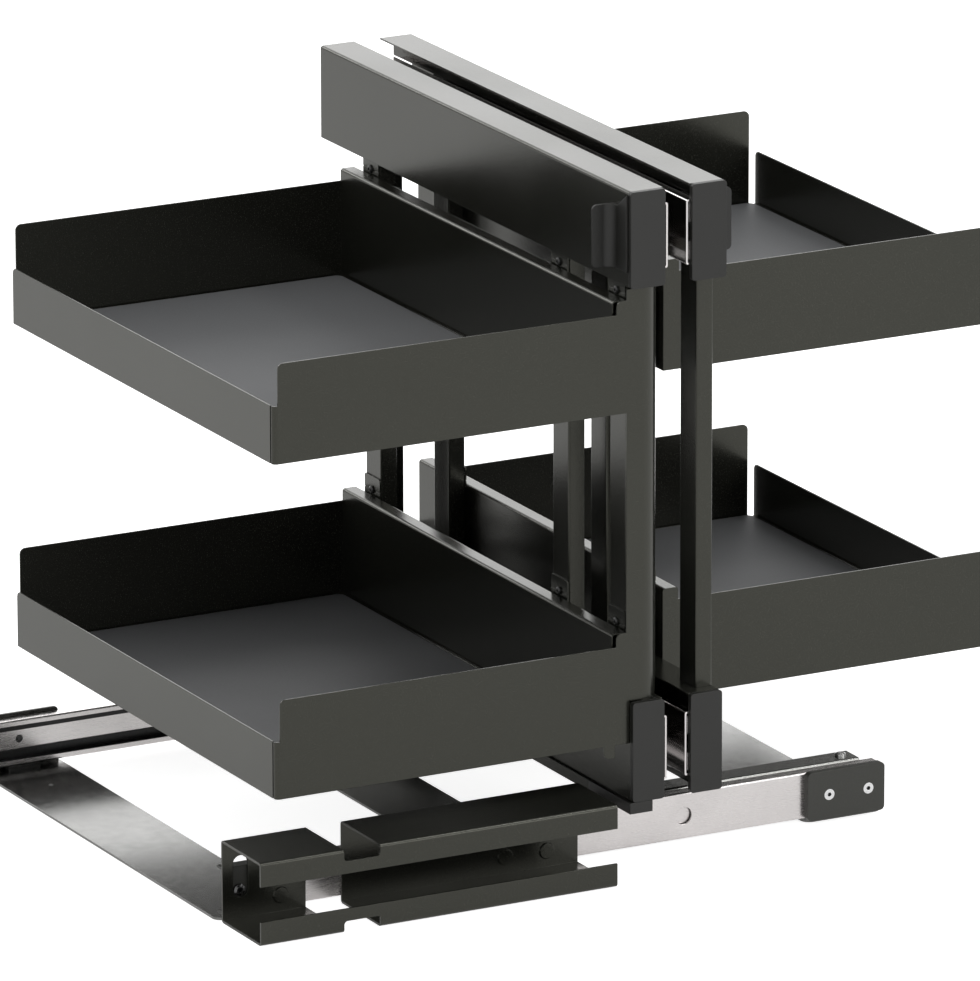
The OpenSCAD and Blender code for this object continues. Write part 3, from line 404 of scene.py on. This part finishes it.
def slide_balls(name, body, model, finish):
    """Steel balls along the four ball rows of a slide's middle member."""
    low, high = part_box(name)
    middle = (low[2] + high[2]) / 2
    half = (high[2] - low[2]) / 2
    node = frame["nodes"][name]
    corners = [node.matrix_world @ vertex.co for vertex in node.data.vertices]
    ends = [corner.y for corner in corners if abs(corner.z - middle) > half - TOUCH]
    outer_row = half - ROW_BAR_R
    inner_row = outer_row - BALL_SPACE - SLIDE_SHEET
    count = int((max(ends) - min(ends) - 2 * BALL_PITCH) / BALL_PITCH)
    start = (max(ends) + min(ends) - (count - 1) * BALL_PITCH) / 2
    rows = []
    for height in (outer_row, inner_row):
        row = model.copy()
        row.data = model.data.copy()
        bpy.context.collection.objects.link(row)
        row.data.transform(Matrix.Translation((low[0] + ROW_IN, start, middle - height)))
        line_up(row, (0, BALL_PITCH, 0), count)
        line_up(row, (high[0] - low[0] - 2 * ROW_IN, 0, 0), 2)
        line_up(row, (0, 0, 2 * height), 2)
        rows.append(row)
    bpy.ops.object.select_all(action="DESELECT")
    for row in rows:
        row.select_set(True)
    bpy.context.view_layer.objects.active = rows[0]
    bpy.ops.object.join()
    balls = bpy.context.view_layer.objects.active
    balls.name = name + "_balls"
    balls.data.materials.clear()
    balls.data.materials.append(finish)
    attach(balls, body)


def add_slide_balls():
    """Balls in all four drawer slides."""
    model = steel_ball()
    finish = screw_finish("ball_steel", BALL_STEEL, 1.0)
    for side in ("near", "far"):
        for place in ("top", "bottom"):
            slide_balls(f"{side}_{place}_slide_middle", f"{side}_slide_middles", model, finish)
    bpy.data.objects.remove(model)


def place_camera():
    """Camera at the photograph's viewing angle."""
    forward = Vector((
        math.sin(VIEW_YAW) * math.cos(VIEW_DROP),
        math.cos(VIEW_YAW) * math.cos(VIEW_DROP),
        -math.sin(VIEW_DROP)))
    level = Vector((math.cos(VIEW_YAW), -math.sin(VIEW_YAW), 0))
    upright = level.cross(forward)
    right = math.cos(VIEW_ROLL) * level + math.sin(VIEW_ROLL) * upright
    up = math.cos(VIEW_ROLL) * upright - math.sin(VIEW_ROLL) * level
    data = bpy.data.cameras.new("camera")
    data.lens = LENS_MM
    data.sensor_width = SENSOR_MM
    data.sensor_fit = "HORIZONTAL"
    data.clip_end = SEEN_TO
    camera = bpy.data.objects.new("camera", data)
    bpy.context.collection.objects.link(camera)
    turn = Matrix((right, up, -forward)).transposed().to_4x4()
    camera.matrix_world = Matrix.Translation(CAMERA_PLACE) @ turn
    bpy.context.scene.camera = camera


def largest(tree, *values):
    """The largest of several shader values."""
    result = values[0]
    for value in values[1:]:
        node = tree.nodes.new("ShaderNodeMath")
        node.operation = "MAXIMUM"
        tree.links.new(result, node.inputs[0])
        tree.links.new(value, node.inputs[1])
        result = node.outputs[0]
    return result


def scaled(tree, value, factor):
    """A shader value times a fixed factor."""
    node = tree.nodes.new("ShaderNodeMath")
    node.operation = "MULTIPLY"
    node.inputs[1].default_value = factor
    tree.links.new(value, node.inputs[0])
    return node.outputs[0]


def white_world():
    """White surroundings; what lights diffuse surfaces is a little weaker."""
    world = bpy.data.worlds.new("studio")
    bpy.context.scene.world = world
    world.use_nodes = True
    tree = world.node_tree
    tree.nodes.clear()
    output = tree.nodes.new("ShaderNodeOutputWorld")
    backdrop = tree.nodes.new("ShaderNodeBackground")
    backdrop.inputs["Color"].default_value = (1, 1, 1, 1)
    path = tree.nodes.new("ShaderNodeLightPath")
    seen = largest(tree, path.outputs["Is Camera Ray"], path.outputs["Is Glossy Ray"],
                   path.outputs["Is Transmission Ray"])
    strength = tree.nodes.new("ShaderNodeMapRange")
    strength.inputs["To Min"].default_value = SKY_LIGHT
    tree.links.new(seen, strength.inputs["Value"])
    tree.links.new(strength.outputs["Result"], backdrop.inputs["Strength"])
    tree.links.new(backdrop.outputs[0], output.inputs["Surface"])


def studio_floor():
    """White floor that keeps a faint shadow."""
    bpy.ops.mesh.primitive_plane_add(size=FLOOR_SIZE, location=(0, 0, -FLOOR_DROP))
    floor = bpy.context.object
    floor.name = "studio_floor"
    material, tree, shader = new_material("studio_floor")
    shader.inputs["Base Color"].default_value = (*FLOOR_WHITE, 1)
    shader.inputs["Roughness"].default_value = FLOOR_ROUGHNESS
    path = tree.nodes.new("ShaderNodeLightPath")
    glow = largest(tree, scaled(tree, path.outputs["Is Camera Ray"], FLOOR_GLOW_SEEN),
                   scaled(tree, path.outputs["Is Glossy Ray"], FLOOR_GLOW_MIRRORED))
    shader.inputs["Emission Color"].default_value = (1, 1, 1, 1)
    tree.links.new(glow, shader.inputs["Emission Strength"])
    floor.data.materials.append(material)


def softbox(name, place, size, power):
    """Large soft lamp that faces the object."""
    data = bpy.data.lights.new(name, "AREA")
    data.shape = "RECTANGLE"
    data.size, data.size_y = size
    data.energy = power
    lamp = bpy.data.objects.new(name, data)
    bpy.context.collection.objects.link(lamp)
    lamp.location = place
    lamp.rotation_euler = (LAMP_AIM - Vector(place)).to_track_quat("-Z", "Y").to_euler()
    lamp.visible_camera = False


def light_the_studio():
    """Surroundings, floor and lamps."""
    white_world()
    studio_floor()
    for name, place, size, power in SOFTBOXES:
        softbox(name, place, size, power)


place_camera()
light_the_studio()
dress_nodes()
add_slide_balls()

bpy.context.scene.view_settings.view_transform = "Standard"
bpy.context.view_layer.update()
